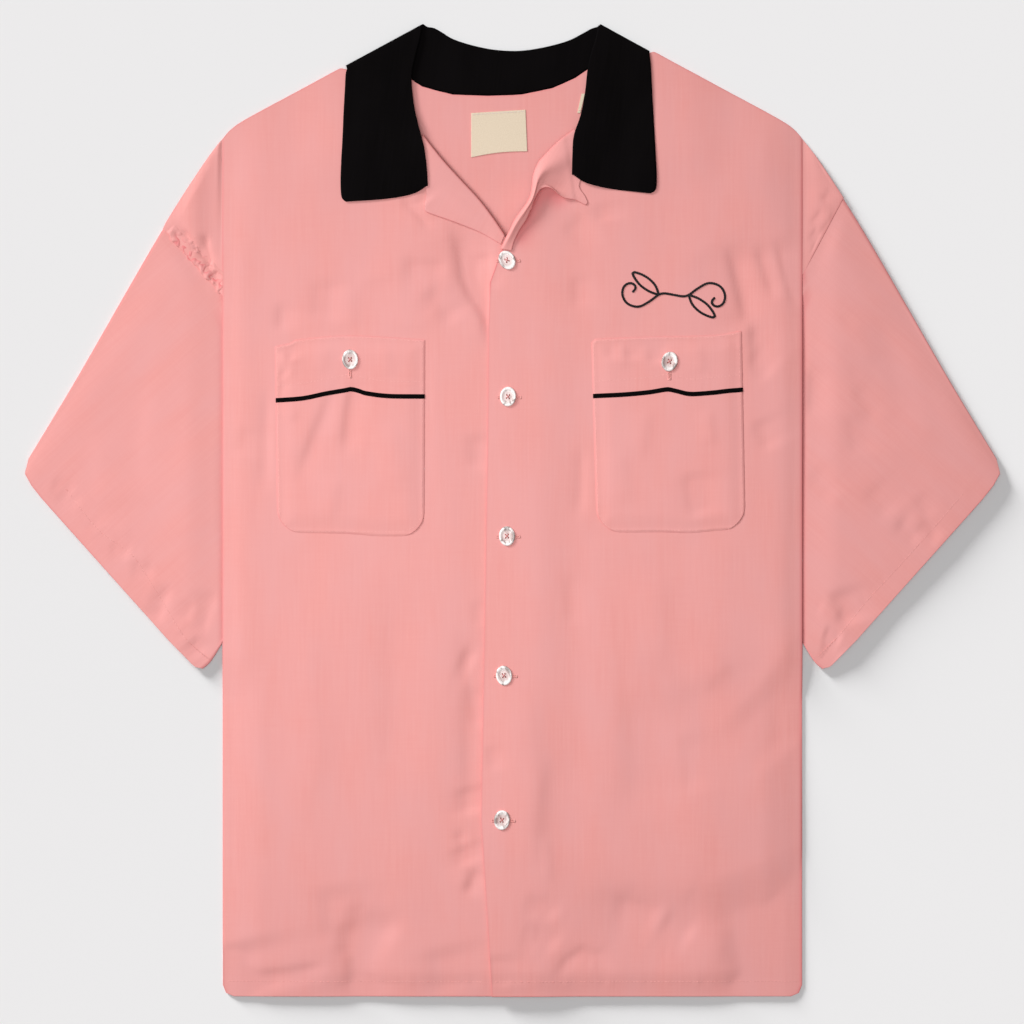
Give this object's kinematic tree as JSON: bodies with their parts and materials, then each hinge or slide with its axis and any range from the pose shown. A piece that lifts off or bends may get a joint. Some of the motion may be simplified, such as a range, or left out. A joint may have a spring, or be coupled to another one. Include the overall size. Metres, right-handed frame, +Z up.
{
  "type": "bowling shirt",
  "caption": "Short-sleeved bowling shirt laid flat, with a contrast camp collar, turned-out reveres, piped patch pockets and shirt buttons.",
  "frame": {"origin": "centre of the bounding box's lower face, on the surface that the shirt lies on", "axes": "+Z up out of the surface through the shirt's front, +Y from the hem to the collar, +X to the wearer's left"},
  "size_m": [0.7786, 0.7768, 0.0097],
  "materials": {
    "pink_rayon": "plain-weave spun rayon, fine upright slubs, soft dry sheen",
    "black_rayon": "plain-weave spun rayon, dyed black, matt",
    "pearl": "pearl shell effect, polished",
    "label_tape": "woven cream tape, left blank"
  },
  "bodies": {
    "root": {"back_panel": "pink_rayon", "front_right": "pink_rayon", "front_left": "pink_rayon", "sleeve_right": "pink_rayon", "sleeve_left": "pink_rayon", "collar": "black_rayon", "revere_right": "pink_rayon", "revere_left": "pink_rayon", "pocket_right": "pink_rayon", "pocket_left": "pink_rayon", "pocket_band_right": "pink_rayon", "pocket_band_left": "pink_rayon", "pocket_piping_right": "black_rayon", "pocket_piping_left": "black_rayon", "neck_label": "label_tape", "care_tag": "label_tape", "button_front_1": "pearl", "button_front_2": "pearl", "button_front_3": "pearl", "button_front_4": "pearl", "button_front_5": "pearl", "button_pocket_right": "pearl", "button_pocket_left": "pearl"}
  },
  "joints": []
}
